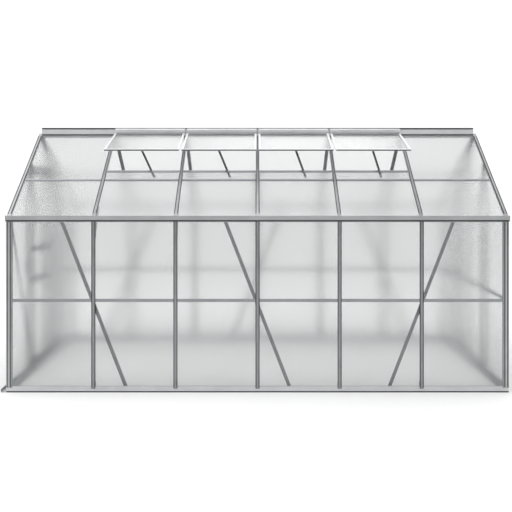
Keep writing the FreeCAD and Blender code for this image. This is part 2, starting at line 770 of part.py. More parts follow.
def vent_point(x, u, v):
    """A point of the vent, given where it is when closed, at the angle it is built at."""
    at = FRONT_ROOF.point(x, u, v) - V(0, -HINGE_Y, HINGE_Z)
    turn = FreeCAD.Rotation(V(-1, 0, 0), VENT_OPEN)
    return turn.multVec(at) + V(0, -HINGE_Y, HINGE_Z)


hinge_u = HINGE_Y * math.cos(SLOPE) - (HINGE_Z - RIDGE_HEIGHT) * math.sin(SLOPE)
hinge_v = (HINGE_Z - RIDGE_HEIGHT) * math.cos(SLOPE) + HINGE_Y * math.sin(SLOPE)
vent_top = VENT_RISE + 2 * WALL + SLOT
VENT_WIDTH = PITCH - VENT_GAP


def vent(number, x):
    """One vent with its stay: hinged top rail, two side bars, bottom bar and sheet."""
    rail = [
        (hinge_u, VENT_BOX, -hinge_v - 1, 1 - hinge_v),
        (VENT_BOX - WALL, VENT_BOX, -hinge_v - 1, -VENT_RISE),
        (VENT_BOX - WALL, VENT_BOX + 15, -vent_top, WALL - vent_top),
        (VENT_BOX - WALL, VENT_BOX + 15, -VENT_RISE - WALL, -VENT_RISE),
    ]
    top_rail = FRONT_ROOF.crossbar([(a0, a1, b0, b1) for a0, a1, b0, b1 in rail], x, 0, VENT_WIDTH)
    knuckle = pin(V(x, -HINGE_Y, HINGE_Z), X, KNUCKLE, VENT_WIDTH)
    save(f"vent_{number}_top_rail", hinged([join([top_rail, knuckle])]))

    side_u0, side_u1 = VENT_BOX + 15 + FIT, VENT_END - VENT_BAR - FIT
    edge = VENT_WIDTH / 2
    frame_solids = []
    for side in (-1, 1):
        section = [(0, VENT_BAR, -vent_top, WALL - vent_top), (0, WALL, -vent_top, -VENT_RISE),
                   (0, VENT_BAR, -VENT_RISE - WALL, -VENT_RISE)]
        frame_solids.append(FRONT_ROOF.rafter(section, x + side * edge, side_u0, side_u1, X * -side))
    bottom = [
        (VENT_END - VENT_BAR, VENT_END, -vent_top, WALL - vent_top),
        (VENT_END - WALL, VENT_END, -vent_top, -0.5),
        (VENT_END - VENT_BAR, VENT_END, -VENT_RISE - WALL, -VENT_RISE),
    ]
    bottom_bar = FRONT_ROOF.crossbar(bottom, x, 0, VENT_WIDTH)
    frame_solids.append(bottom_bar)

    pivot = vent_point(x, STAY_PIVOT_U, STAY_PIVOT_V)
    sill_edge = FRONT_ROOF.point(x, SILL_AT - SILL / 2 - PEG_LENGTH - PEG_GAP, -INNER / 2)
    down = (sill_edge - pivot).normalize()
    normal = X.cross(down)
    tab_face = pivot + normal * (STAY_THICK + FIT)
    frame_solids = hinged(frame_solids)
    top_at = abs((vent_point(x, STAY_PIVOT_U, VENT_RISE) - pivot).dot(down)) - 0.4
    tab = plate([(-9, -8), (9, -8), (9, top_at), (-9, top_at)], 0, 1.5, tab_face, X * -1, normal)
    rivet = Part.makeCylinder(STAY_RIVET / 2, STAY_THICK + 2 * FIT + 1.5, pivot - normal * FIT, normal)
    head = Part.makeCylinder(STAY_RIVET / 2 + 1.6, 1.4, pivot - normal * (FIT + 1.4), normal)
    frame_solids.append(join([tab, rivet, head]))
    save(f"vent_{number}_frame", frame_solids)

    sheet_width = VENT_WIDTH - 2 * WALL - 2 * FIT
    low = WALL + FIT - vent_top
    pane = bar([(-sheet_width / 2, sheet_width / 2, low, low + SHEET)], VENT_END - VENT_BOX - 2 * WALL,
               FRONT_ROOF.point(x, (VENT_END + VENT_BOX) / 2 - 1, 0), X, FRONT_ROOF.n)
    save(f"vent_{number}_sheet", hinged([pane]))

    lean = STAY_LEAN / (sill_edge - pivot).Length
    along = (X * lean + down).normalize()
    save(f"vent_{number}_stay", [stay(pivot, along, normal)])
    peg_at = FRONT_ROOF.point(x + STAY_LEAN, SILL_AT - SILL / 2, -INNER / 2)
    return peg(peg_at)


def stay(pivot, along, normal):
    """Flat bar with a row of holes, free to turn on its rivet."""
    across = normal.cross(along)
    centre = pivot + along * (STAY_LENGTH / 2 - STAY / 2)
    shape = bar([(-STAY / 2, STAY / 2, 0, STAY_THICK)], STAY_LENGTH, centre, across, normal)
    step = (STAY_LENGTH - STAY * 2) / (STAY_HOLES - 1)
    holes = [pin(pivot, normal, STAY_HOLE / 2, 20)]
    for k in range(2, STAY_HOLES):
        holes.append(pin(pivot + along * (step * k), normal, STAY_HOLE / 2, 20))
    return shape.cut(Part.makeCompound(holes)).Solids[0]


def peg(at):
    """Small bracket on the sill's inner edge with a stub for the stay's holes."""
    slope = FRONT_ROOF
    block = bar([(-9, 9, INNER + WALL - INNER / 2, INNER + WALL - INNER / 2 + 6)], 12,
                at + slope.u * 6.2, X, slope.n)
    tongue = bar([(-9, 9, -INNER / 2, INNER + WALL - INNER / 2 + 6)], 1.6,
                 at - slope.u * 1.1, X, slope.n)
    stub = Part.makeCylinder(PEG / 2, PEG_LENGTH, at - slope.u * 0.3, slope.u * -1)
    return join([block, tongue, stub])


def door_frame():
    """Head rail in the gable, head track for the rollers and guide track along the foot."""
    head = [(-HEAD_RAIL / 2, HEAD_RAIL / 2, 0, WALL), (-1, 1, 0, INNER + WALL),
            (-HEAD_RAIL / 2, HEAD_RAIL / 2, INNER, INNER + WALL)]
    save("door_head_rail", [LEFT.rail(head, 0, HEAD_RAIL_AT, PITCH - BAR - 2 * FIT)])
    top = [
        (HEAD_TRACK_LOW, HEAD_TRACK_TOP, -WALL, 0),
        (HEAD_TRACK_TOP - WALL, HEAD_TRACK_TOP, -HEAD_OUT, 0),
        (HEAD_TRACK_LOW, HEAD_TRACK_TOP, -HEAD_OUT, WALL - HEAD_OUT),
        (HEAD_TRACK_LOW, HEAD_TRACK_LOW + WALL, -HEAD_OUT, HEAD_LIP - HEAD_OUT),
    ]
    middle = -(HEAD_TRACK_START + HEAD_TRACK_END) / 2
    save("door_head_track", [LEFT.rail(top, middle, 0, HEAD_TRACK_END - HEAD_TRACK_START)])
    low = [
        (GUIDE_FLOOR - WALL, GUIDE_FLOOR, -GUIDE_OUT, -BASE_PROUD),
        (GUIDE_FLOOR - WALL, GUIDE_TOP, -GUIDE_OUT, WALL - GUIDE_OUT),
        (GUIDE_FLOOR - WALL, GUIDE_TOP - 8, -BASE_PROUD - WALL, -BASE_PROUD),
    ]
    save("door_bottom_track", [LEFT.rail(low, 0, 0, 2 * HALF_Y)])


def door_section(slot_low, slot_high):
    """Door extrusion, open on the edges that hold a sheet."""
    out = -DOOR_GAP - DOOR_THICK
    side = (DOOR_THICK - SLOT) / 2
    start = SHEET_BITE if slot_low else 0
    end = DOOR_RAIL - SHEET_BITE if slot_high else DOOR_RAIL
    return [
        (0, DOOR_RAIL, out, out + side),
        (0, DOOR_RAIL, out + side + SLOT, out + DOOR_THICK),
        (start, end, out, out + DOOR_THICK),
    ]


def door():
    """Sliding leaf in front of the gable: frame, three panes and a handle."""
    out = -DOOR_GAP - DOOR_THICK
    edge = DOOR_WIDTH / 2
    inside = edge - DOOR_RAIL
    stiles = []
    for side in (-1, 1):
        centre = LEFT.point(side * edge, 0, (DOOR_BOTTOM + DOOR_TOP) / 2)
        height = DOOR_TOP - DOOR_BOTTOM
        stiles.append(bar(door_section(False, True), height, centre, LEFT.across * -side, LEFT.depth))
    save("door_stiles", stiles)

    span = 2 * (inside - FIT)
    rails = [LEFT.rail(door_section(False, True), 0, DOOR_BOTTOM, span)]
    for z in DOOR_RAIL_HEIGHTS:
        rails.append(LEFT.rail(door_section(True, True), 0, z - DOOR_RAIL / 2, span))
    rails.append(LEFT.rail(door_section(True, False), 0, DOOR_TOP - DOOR_RAIL, span))
    save("door_rails", rails)

    bite = SHEET_BITE - FIT
    reach = inside + bite
    low = out + (DOOR_THICK - SHEET) / 2
    bottoms = [DOOR_BOTTOM + DOOR_RAIL] + [z + DOOR_RAIL / 2 for z in DOOR_RAIL_HEIGHTS]
    tops = [z - DOOR_RAIL / 2 for z in DOOR_RAIL_HEIGHTS] + [DOOR_TOP - DOOR_RAIL]
    panes = []
    for z0, z1 in zip(bottoms, tops):
        outline = [(-reach, z0 - bite), (reach, z0 - bite), (reach, z1 + bite), (-reach, z1 + bite)]
        panes.append(plate(outline, low, low + SHEET, LEFT.origin, LEFT.across, LEFT.depth))
    save("door_sheets", panes)

    grip_at = edge - DOOR_RAIL / 2
    grip = [bar([(-7, 7, out - 16, out - 8)], HANDLE, LEFT.point(grip_at, 0, HANDLE_HEIGHT),
                LEFT.across, LEFT.depth)]
    for side in (-1, 1):
        foot = LEFT.point(grip_at, 0, HANDLE_HEIGHT + side * (HANDLE / 2 - 8))
        grip.append(bar([(-7, 7, out - 9, out)], 12, foot, LEFT.across, LEFT.depth))
    save("door_handle", [join(grip)])


def door_running_gear():
    """Two rollers on hangers in the head track, two guide blocks in the bottom track."""
    out = -DOOR_GAP - DOOR_THICK
    roller_z = HEAD_TRACK_LOW + WALL + ROLLER / 2 + FIT
    wheel_b = WALL + 0.5 + ROLLER_WIDTH / 2 - HEAD_OUT
    blade_b = wheel_b + ROLLER_WIDTH / 2 + 1
    blade_top = roller_z + ROLLER / 2
    hangers, guides = [], []
    for number, side in enumerate((1, -1), 1):
        a = side * (DOOR_WIDTH / 2 - ROLLER_INSET)
        middle = LEFT.point(a, 0, (blade_top + DOOR_TOP) / 2)
        blade = bar([(-12, 12, blade_b, blade_b + 3)], blade_top - DOOR_TOP, middle,
                    LEFT.across, LEFT.depth)
        foot = bar([(-20, 20, out, out + DOOR_THICK)], 3, LEFT.point(a, 0, DOOR_TOP + 1.5),
                   LEFT.across, LEFT.depth)
        axle = pin(LEFT.point(a, wheel_b + 1.5, roller_z), X, ROLLER_PIN / 2, ROLLER_WIDTH + 3)
        hangers.append(join([blade, foot, axle]))
        wheel = pin(LEFT.point(a, wheel_b, roller_z), X, ROLLER / 2, ROLLER_WIDTH)
        bore = pin(LEFT.point(a, wheel_b, roller_z), X, ROLLER_PIN / 2 + ROLLER_PLAY, 4 * ROLLER_WIDTH)
        save(f"door_roller_{number}", wheel.cut(bore).Solids)
        block = [(-GUIDE_LENGTH / 2, GUIDE_LENGTH / 2, out + 1, out + DOOR_THICK - 2)]
        guides.append(LEFT.post(block, a, GUIDE_FLOOR + FIT, DOOR_BOTTOM))
    save("door_hangers", hangers)
    save("door_guides", guides)


base_rails()
save("base_corner_cleats", corner_cleats())
posts()
save("corner_posts", corner_posts())
save("middle_strips", middle_strips())
gutters()
ridge_beam()
rafters()
save("roof_strips", roof_strips())
save("vent_sills", sills())
braces()
gussets()
save("frame_bolts", bolts)
wall_sheets()
gable_sheets()
roof_sheets()
save("stay_pegs", [vent(number, x) for number, x in enumerate(vent_bays, 1)])
door_frame()
door()
door_running_gear()
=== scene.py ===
"""Walk-in garden greenhouse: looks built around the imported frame, section by section."""

import math

import bmesh
import bpy
from mathutils import Matrix, Vector


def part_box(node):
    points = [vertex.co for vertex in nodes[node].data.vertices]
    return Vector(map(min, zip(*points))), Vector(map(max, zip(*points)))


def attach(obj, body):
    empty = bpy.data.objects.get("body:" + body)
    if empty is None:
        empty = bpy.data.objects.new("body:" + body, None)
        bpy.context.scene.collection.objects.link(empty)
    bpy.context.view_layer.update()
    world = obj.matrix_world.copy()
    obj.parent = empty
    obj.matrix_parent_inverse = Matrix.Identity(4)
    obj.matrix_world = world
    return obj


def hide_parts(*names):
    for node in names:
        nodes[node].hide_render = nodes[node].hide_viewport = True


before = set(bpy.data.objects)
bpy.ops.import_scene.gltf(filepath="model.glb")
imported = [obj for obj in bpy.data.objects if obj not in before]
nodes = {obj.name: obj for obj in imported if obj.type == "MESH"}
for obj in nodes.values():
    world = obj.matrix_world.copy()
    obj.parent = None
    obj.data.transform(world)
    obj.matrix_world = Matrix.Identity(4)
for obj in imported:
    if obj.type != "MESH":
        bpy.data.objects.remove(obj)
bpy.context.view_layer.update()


# ---------------------------------------------------------------------------
# Base rails and corner cleats
# Extruded aluminium, left as it comes from the die: a dull grey metal with faint lines along each bar,
# its tone set paler or darker from one copy to the next as painted light and shade. The four rails are
# cut to length and bolted through cleats.

def linear(code):
    """An sRGB hex colour as linear RGBA."""
    channels = [int(code[i:i + 2], 16) / 255 for i in (1, 3, 5)]
    return [c / 12.92 if c <= 0.04045 else ((c + 0.055) / 1.055) ** 2.4 for c in channels] + [1.0]


def add(tree, kind, links=None, inputs=None, **settings):
    """A shader node with its settings, its input values and the sockets that feed it."""
    made = tree.nodes.new(kind)
    for key, value in settings.items():
        setattr(made, key, value)
    for key, value in (inputs or {}).items():
        made.inputs[key].default_value = value
    for key, socket in (links or {}).items():
        tree.links.new(socket, made.inputs[key])
    return made


def new_material(name, shader):
    """A material with a Principled shader set from plain values; returns it, its tree and shader."""
    made = bpy.data.materials.new(name)
    made.use_nodes = True
    principled = made.node_tree.nodes["Principled BSDF"]
    for key, value in shader.items():
        principled.inputs[key].default_value = value
    return made, made.node_tree, principled


DIE_LINE = 0.0022      # spacing of the die lines, drawn twice as coarse as real so that they show
DIE_LINE_RUN = 0.9     # how far one line goes before it fades
CLOUDS = 9.0           # cloudy patches in a metre, where the die has drawn the metal unevenly


def extruded_aluminium(name, turn, dark="#9C9EA0", pale="#C4C6C8", rough=(0.30, 0.46)):
    """Mill-finish extruded aluminium: satin, with die lines along the bar's length (local Z). Callers
    shift dark and pale paler or darker per copy as painted light and shade.
    """
    made, tree, shader = new_material(name, {"Metallic": 1.0})
    place = add(tree, "ShaderNodeTexCoord")
    turned = add(tree, "ShaderNodeMapping", {"Vector": place.outputs["Object"]},
                 {"Rotation": turn}, vector_type="TEXTURE")
    stretched = add(tree, "ShaderNodeMapping", {"Vector": turned.outputs["Vector"]},
                    {"Scale": (1 / DIE_LINE, 1 / DIE_LINE, 1 / DIE_LINE_RUN)})
    lines = add(tree, "ShaderNodeTexNoise", {"Vector": stretched.outputs["Vector"]},
                {"Scale": 1.0, "Detail": 3.0, "Roughness": 0.6})
    cloud = add(tree, "ShaderNodeTexNoise", {"Vector": place.outputs["Object"]},
                {"Scale": CLOUDS, "Detail": 2.0})
    both = add(tree, "ShaderNodeMix", {"A": lines.outputs["Fac"], "B": cloud.outputs["Fac"]},
               {"Factor": 0.35})
    tone = add(tree, "ShaderNodeValToRGB", {"Fac": both.outputs["Result"]})
    tone.color_ramp.elements[0].position, tone.color_ramp.elements[0].color = 0.30, linear(dark)
    tone.color_ramp.elements[1].position, tone.color_ramp.elements[1].color = 0.70, linear(pale)
    satin = add(tree, "ShaderNodeMapRange", {"Value": both.outputs["Result"]},
                {"From Min": 0.3, "From Max": 0.7, "To Min": rough[0], "To Max": rough[1]})
    bump = add(tree, "ShaderNodeBump", {"Height": lines.outputs["Fac"]},
               {"Strength": 0.25, "Distance": 0.0002})
    tree.links.new(tone.outputs["Color"], shader.inputs["Base Color"])
    tree.links.new(satin.outputs["Result"], shader.inputs["Roughness"])
    tree.links.new(bump.outputs["Normal"], shader.inputs["Normal"])
    return made


def finish(names, material):
    """Give CAD nodes their finish."""
    for name in names.split():
        mesh = nodes[name].data
        mesh.materials.clear()
        mesh.materials.append(material)


ALONG_X = (0, math.pi / 2, 0)
ALONG_Y = (math.pi / 2, 0, 0)
# Painted light: the bars along the ridge and, less so, the bars across are toned paler than plain mill
# aluminium, standing in for the light they catch.
long_bars_painted_light = extruded_aluminium("mill aluminium with painted light, bars along the ridge", ALONG_X,
                               "#CED0D2", "#EBECED", (0.46, 0.60))
cross_bars_painted_light = extruded_aluminium("mill aluminium with painted light, bars across", ALONG_Y,
                                "#B4B6B8", "#D0D2D4", (0.38, 0.52))
finish("base_front base_rear", long_bars_painted_light)
finish("base_left base_right", cross_bars_painted_light)
finish("base_corner_cleats", long_bars_painted_light)


# ---------------------------------------------------------------------------
# Posts and corner posts
# Upright extrusions with a bolt channel inside and a shallow groove down the outer
# face. They stand on the base rail, each held by a folded cleat.

UPRIGHT = (0, 0, 0)
# Painted shade: the upright bars are toned darker than plain mill aluminium, standing in for the shade
# on their faces; the cleats keep the plain tone.
upright_bars_painted_shade = extruded_aluminium("mill aluminium with painted shade, upright bars", UPRIGHT, "#7E8082", "#A8AAAC")
corner_bars = extruded_aluminium("mill aluminium, corner bars", UPRIGHT)
finish("front_posts rear_posts right_gable_posts door_posts corner_posts", upright_bars_painted_shade)
finish("post_cleats", corner_bars)


# ---------------------------------------------------------------------------
# Middle strips
# Thin H extrusions across each bay that join the lower sheet to the upper one. The
# rail over the door is cut from the same strip.

# Painted shade: the joining strips are toned darker than plain mill aluminium, standing in for the
# shade on them.
strip_bars_painted_shade = extruded_aluminium("mill aluminium with painted shade, joining strips", ALONG_X, "#8C8E90", "#A8AAAC")
finish("middle_strips door_head_rail", strip_bars_painted_shade)


# ---------------------------------------------------------------------------
# Gutters
# One open channel along each eave, extruded with two ribs on its face, closed at
# both ends by a moulded black cap.

# Painted light: the gutters are toned a little paler than plain mill aluminium, standing in for the
# light on their faces.
gutter_bars_painted_light = extruded_aluminium("mill aluminium with painted light, gutters", ALONG_X,
                                 "#A6A8AA", "#CACCCE", (0.36, 0.50))
finish("front_gutter rear_gutter", gutter_bars_painted_light)


def fine_grain(name, low, high, grain, rough):
    """Moulded plastic, rubber or stoved paint: even colour, its fine grain softens the shine."""
    made, tree, shader = new_material(name, {"IOR": 1.5})
    place = add(tree, "ShaderNodeTexCoord")
    spots = add(tree, "ShaderNodeTexNoise", {"Vector": place.outputs["Object"]},
                {"Scale": 1 / grain, "Detail": 3.0})
    tone = add(tree, "ShaderNodeValToRGB", {"Fac": spots.outputs["Fac"]})
    tone.color_ramp.elements[0].color = linear(low)
    tone.color_ramp.elements[1].color = linear(high)
    satin = add(tree, "ShaderNodeMapRange", {"Value": spots.outputs["Fac"]},
                {"To Min": rough[0], "To Max": rough[1]})
    bump = add(tree, "ShaderNodeBump", {"Height": spots.outputs["Fac"]},
               {"Strength": 0.3, "Distance": 0.0003})
    tree.links.new(tone.outputs["Color"], shader.inputs["Base Color"])
    tree.links.new(satin.outputs["Result"], shader.inputs["Roughness"])
    tree.links.new(bump.outputs["Normal"], shader.inputs["Normal"])
    return made


black_plastic = fine_grain("moulded black polypropylene", "#161616", "#2A2A2A", 0.0016, (0.42, 0.62))
finish("gutter_end_caps", black_plastic)


# ---------------------------------------------------------------------------
# Ridge, rafters, joining strips and vent sills
# The ridge is one extrusion with a hinge ledge on each side. Rafters are the post
# section again; the verges are the corner section. H strips join the roof sheets.

RIDGE_Z, EAVE_Z, HALF_WIDE = 1.929, 1.281, 0.925
ROOF_SLOPE = math.atan2(RIDGE_Z - EAVE_Z, HALF_WIDE)
# Painted shade: the rafters and, less so, the verges are toned darker than plain mill aluminium; the
# ridge takes the pale bars along the ridge as painted light.
front_slope_painted_shade = extruded_aluminium("mill aluminium with painted shade, front rafters", (ROOF_SLOPE - math.pi / 2, 0, 0),
                                 "#7E8082", "#A8AAAC")
rear_slope_painted_shade = extruded_aluminium("mill aluminium with painted shade, rear rafters", (math.pi / 2 - ROOF_SLOPE, 0, 0),
                                "#7E8082", "#A8AAAC")
finish("ridge_beam", long_bars_painted_light)
finish("roof_strips vent_sills", strip_bars_painted_shade)
finish("front_rafters", front_slope_painted_shade)
finish("rear_rafters", rear_slope_painted_shade)
verge_bars_painted_shade = extruded_aluminium("mill aluminium with painted shade, verges", ALONG_Y,
                                "#96989A", "#B6B8BA", (0.40, 0.54))
finish("verge_rafters", verge_bars_painted_shade)


# ---------------------------------------------------------------------------
# Braces, gussets and bolts
# Angle bars run from the base rail to the eave inside the sheets. Pressed gussets
# stiffen the ridge and the eaves, held by zinc-plated hexagon bolts.

# Painted shade: the braces, seen inside the sheets, and the gussets are toned darker than plain mill
# aluminium.
brace_bars_painted_shade = extruded_aluminium("mill aluminium with painted shade, braces", UPRIGHT, "#7A7C7E", "#A2A4A6")
pressed_plate_painted_shade = extruded_aluminium("mill aluminium with painted shade, pressed plate", ALONG_Y, "#8E9092", "#B0B2B4")
finish("wall_braces gable_braces", brace_bars_painted_shade)
finish("ridge_gussets eave_gussets", pressed_plate_painted_shade)


SPANGLE = 600.0  # crystals in a metre


def zinc_plated(name, dark, pale):
    """Bright zinc plate on steel: a crystalline mottle a few millimetres across."""
    made, tree, shader = new_material(name, {"Metallic": 1.0})
    place = add(tree, "ShaderNodeTexCoord")
    cells = add(tree, "ShaderNodeTexVoronoi", {"Vector": place.outputs["Object"]}, {"Scale": SPANGLE})
    tone = add(tree, "ShaderNodeValToRGB", {"Fac": cells.outputs["Distance"]})
    tone.color_ramp.elements[0].color = linear(dark)
    tone.color_ramp.elements[1].color = linear(pale)
    satin = add(tree, "ShaderNodeMapRange", {"Value": cells.outputs["Distance"]},
                {"To Min": 0.25, "To Max": 0.42})
    tree.links.new(tone.outputs["Color"], shader.inputs["Base Color"])
    tree.links.new(satin.outputs["Result"], shader.inputs["Roughness"])
    return made


zinc = zinc_plated("zinc-plated steel", "#8C8E90", "#B8BABC")
finish("frame_bolts stay_pegs door_hangers", zinc)


# ---------------------------------------------------------------------------
# Glazing
# Twin-wall polycarbonate, two skins joined by fine ribs that run up the sheet. Light
# comes through milky; what is near stays sharp and what is far blurs sideways.

RIB = 0.0055    # spacing of the ribs
BOW_SPAN = 0.6  # a sheet bows once between its two side bars


def twin_wall(name, tint, rough, rib_axis="X", depth=0.00028, bow=0.0, bend=1.30):
    """Twin-wall polycarbonate: clear plastic whose ribs bend light to either side."""
    made, tree, shader = new_material(name, {
        "Base Color": linear(tint), "Roughness": rough, "IOR": bend,
        "Transmission Weight": 1.0, "Specular IOR Level": 0.5})
    place = add(tree, "ShaderNodeTexCoord")
    ribs = add(tree, "ShaderNodeTexWave", {"Vector": place.outputs["Object"]},
               {"Scale": math.pi / (10 * RIB), "Distortion": 0.0},
               wave_type="BANDS", bands_direction=rib_axis, wave_profile="SIN")
    bump = add(tree, "ShaderNodeBump", {"Height": ribs.outputs["Fac"]},
               {"Strength": 1.0, "Distance": depth})
    last = bump
    if bow:
        swell = add(tree, "ShaderNodeTexWave", {"Vector": place.outputs["Object"]},
                    {"Scale": math.pi / (10 * BOW_SPAN), "Distortion": 0.0},
                    wave_type="BANDS", bands_direction="X", wave_profile="SIN")
        last = add(tree, "ShaderNodeBump",
                   {"Height": swell.outputs["Fac"], "Normal": bump.outputs["Normal"]},
                   {"Strength": 1.0, "Distance": bow})
    tree.links.new(last.outputs["Normal"], shader.inputs["Normal"])
    return made


# Painted light and shade: the same polycarbonate gets a paler tint on the gables, front slope and vents
# and a darker one on the long walls and rear slope, standing in for the light that comes through each.
wall_glazing_painted_shade = twin_wall("twin-wall polycarbonate with painted shade, long walls", "#EBECEC", 0.21)
gable_glazing_painted_light = twin_wall("twin-wall polycarbonate with painted light, gables", "#FCFDFD", 0.24, "Y",
                          depth=0.00010, bend=1.12)
front_glazing_painted_light = twin_wall("twin-wall polycarbonate with painted light, front slope", "#F6F7F7", 0.21)
rear_glazing_painted_shade = twin_wall("twin-wall polycarbonate with painted shade, rear slope", "#ECEDED", 0.21)
vent_glazing_painted_light = twin_wall("twin-wall polycarbonate, vents", "#F2F3F3", 0.12, bow=0.006)
finish("front_wall_sheets rear_wall_sheets", wall_glazing_painted_shade)
finish("right_gable_sheets left_gable_sheets door_sheets", gable_glazing_painted_light)
finish("front_roof_sheets", front_glazing_painted_light)
finish("rear_roof_sheets", rear_glazing_painted_shade)


# ---------------------------------------------------------------------------
# Roof vents and their stays
# Four light frames hinged in the ridge. Each is held open by a flat bar with a row
# of holes, riveted to the vent and dropped over a stub on the sill.

# Painted light: the vent frames are toned paler than plain mill aluminium, standing in for the light
# they catch.
vent_bars_painted_light = extruded_aluminium("mill aluminium, vent frames", ALONG_X,
                               "#D4D6D8", "#ECEEEF", (0.40, 0.54))
painted_bar = fine_grain("dark stoved paint on steel bar", "#2E2F30", "#424344", 0.0012, (0.35, 0.5))
for vent in range(1, 5):
    finish(f"vent_{vent}_top_rail vent_{vent}_frame", vent_bars_painted_light)
    finish(f"vent_{vent}_sheet", vent_glazing_painted_light)
    finish(f"vent_{vent}_stay", painted_bar)


# ---------------------------------------------------------------------------
# Door and its tracks
# A sliding leaf in the left gable, hung from two nylon rollers in a head track and
# guided at its foot by two nylon blocks.

finish("door_head_track door_bottom_track", cross_bars_painted_light)
finish("door_stiles door_rails", upright_bars_painted_shade)
nylon = fine_grain("turned nylon", "#CFCDC4", "#DEDCD4", 0.002, (0.38, 0.5))
finish("door_roller_1 door_roller_2 door_guides", nylon)
finish("door_handle", black_plastic)


# ---------------------------------------------------------------------------
# Glazing gaskets
# Black EPDM rubber, extruded as a small half-round bead and pressed along the edges of every bar where
# a sheet enters it. It reads as a fine dark line beside the metal: along the posts, rafters and corners
# partly a real seal and partly painted shade, and under the base rail, along the gutter's lower edge
# and along the ridge painted shade where those edges fall in shadow.

def bead(corners, faces, start, end, side, out, width, height):
    """Adds one half-round bead from start to end, lying on its flat back."""
    rounds = 7
    first = len(corners)
    for spot in (start, end):
        for step in range(rounds):
            turn = math.pi * step / (rounds - 1)
            across, up = math.cos(turn) * width / 2, math.sin(turn) * height
            corners.append(spot + side * across + out * up)
    other = first + rounds
    for step in range(rounds - 1):
        faces.append((first + step, first + step + 1, other + step + 1, other + step))
    faces.append((first + rounds - 1, first, other, other + rounds - 1))
    faces.append(tuple(range(other - 1, first - 1, -1)))
    faces.append(tuple(range(other, other + rounds)))


def beads(name, runs, material, body):
    """One piece from many beads, with its faces turned outwards."""
    corners, faces = [], []
    for run in runs:
        bead(corners, faces, *run)
    mesh = bpy.data.meshes.new(name)
    mesh.from_pydata(corners, [], faces)
    shape = bmesh.new()
    shape.from_mesh(mesh)
    bmesh.ops.recalc_face_normals(shape, faces=shape.faces)
    shape.to_mesh(mesh)
    shape.free()
    mesh.materials.append(material)
    for face in mesh.polygons:
        face.use_smooth = len(face.vertices) == 4 and face.area > 0
    mesh.set_sharp_from_angle(angle=math.radians(40))
    piece = bpy.data.objects.new(name, mesh)
    bpy.context.scene.collection.objects.link(piece)
    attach(piece, body)
    return piece


MIDDLE = 0.0185          # the middle of the frame, off the origin because of the door tracks
HALF_LONG = 1.837
X, Y, Z = Vector((1, 0, 0)), Vector((0, 1, 0)), Vector((0, 0, 1))
UPS = Vector((MIDDLE, 0, 0))
PITCH = 0.6
BARS = [bay * PITCH for bay in range(-2, 3)]
GABLE_BARS = (-PITCH / 2, PITCH / 2)
EDGE = 0.0116            # bead's middle from a bar's middle
BEAD, PROUD = 0.0064, 0.0010
NARROW_BEAD = 0.0036     # beside a vent, half as far out
POST_FOOT, POST_HEAD, GABLE_POST_HEAD = 0.034, 1.2485, 1.612
CORNER_FOOT, CORNER_RUN = 0.038, 1.205
RAFTER_START, RAFTER_END = 0.034, 1.084   # down the slope from the ridge
VERGE_START, VERGE_RUN = 0.040, 1.05
BELOW_VENTS = 0.590      # down the slope, clear of a closed vent
VENTS_END = 1.2          # the vents fill the four middle bays
RIDGE_HALF = 1.8125
# Dark rubber lines beside the corners and verges are partly real seals and partly painted shade; the
# lines under the edges and along the ridge are painted shade.
CORNER_LINES = ((0.0120, 0.0050), (0.0285, 0.0078))   # in from the corner, width
VERGE_LINES = ((0.0040, 0.0072), (0.0255, 0.0090))
GABLE_LINE = (0.0032, 0.0060)
EDGE_SHADE_LINES = ((0.003, 0.0062, 0.0090, 0.0012),        # out from the wall, height, width, proud
              (0.012, 1.2552, 0.0105, 0.0010))
SEAT_AT, SEAT_SHADE_LINE = 0.0206, (0.0185, 0.0028)         # down from the ridge; width, proud
PLATE_AT, PLATE_SHADE_LINE = (0.0120, 1.9734), (0.0046, 0.0009)
PLATE_END_AT, PLATE_END_SHADE_LINE = (0.0129, 1.9705), (0.0085, 0.0008)


def roof_spot(x, side, down, out=0.0):
    """A place on a roof slope: side -1 is the front, down is from the ridge along the slope."""
    fall = Vector((0, side * math.cos(ROOF_SLOPE), -math.sin(ROOF_SLOPE)))
    away = Vector((0, side * math.sin(ROOF_SLOPE), math.cos(ROOF_SLOPE)))
    return UPS + Vector((x, 0, RIDGE_Z)) + fall * down + away * out, fall, away


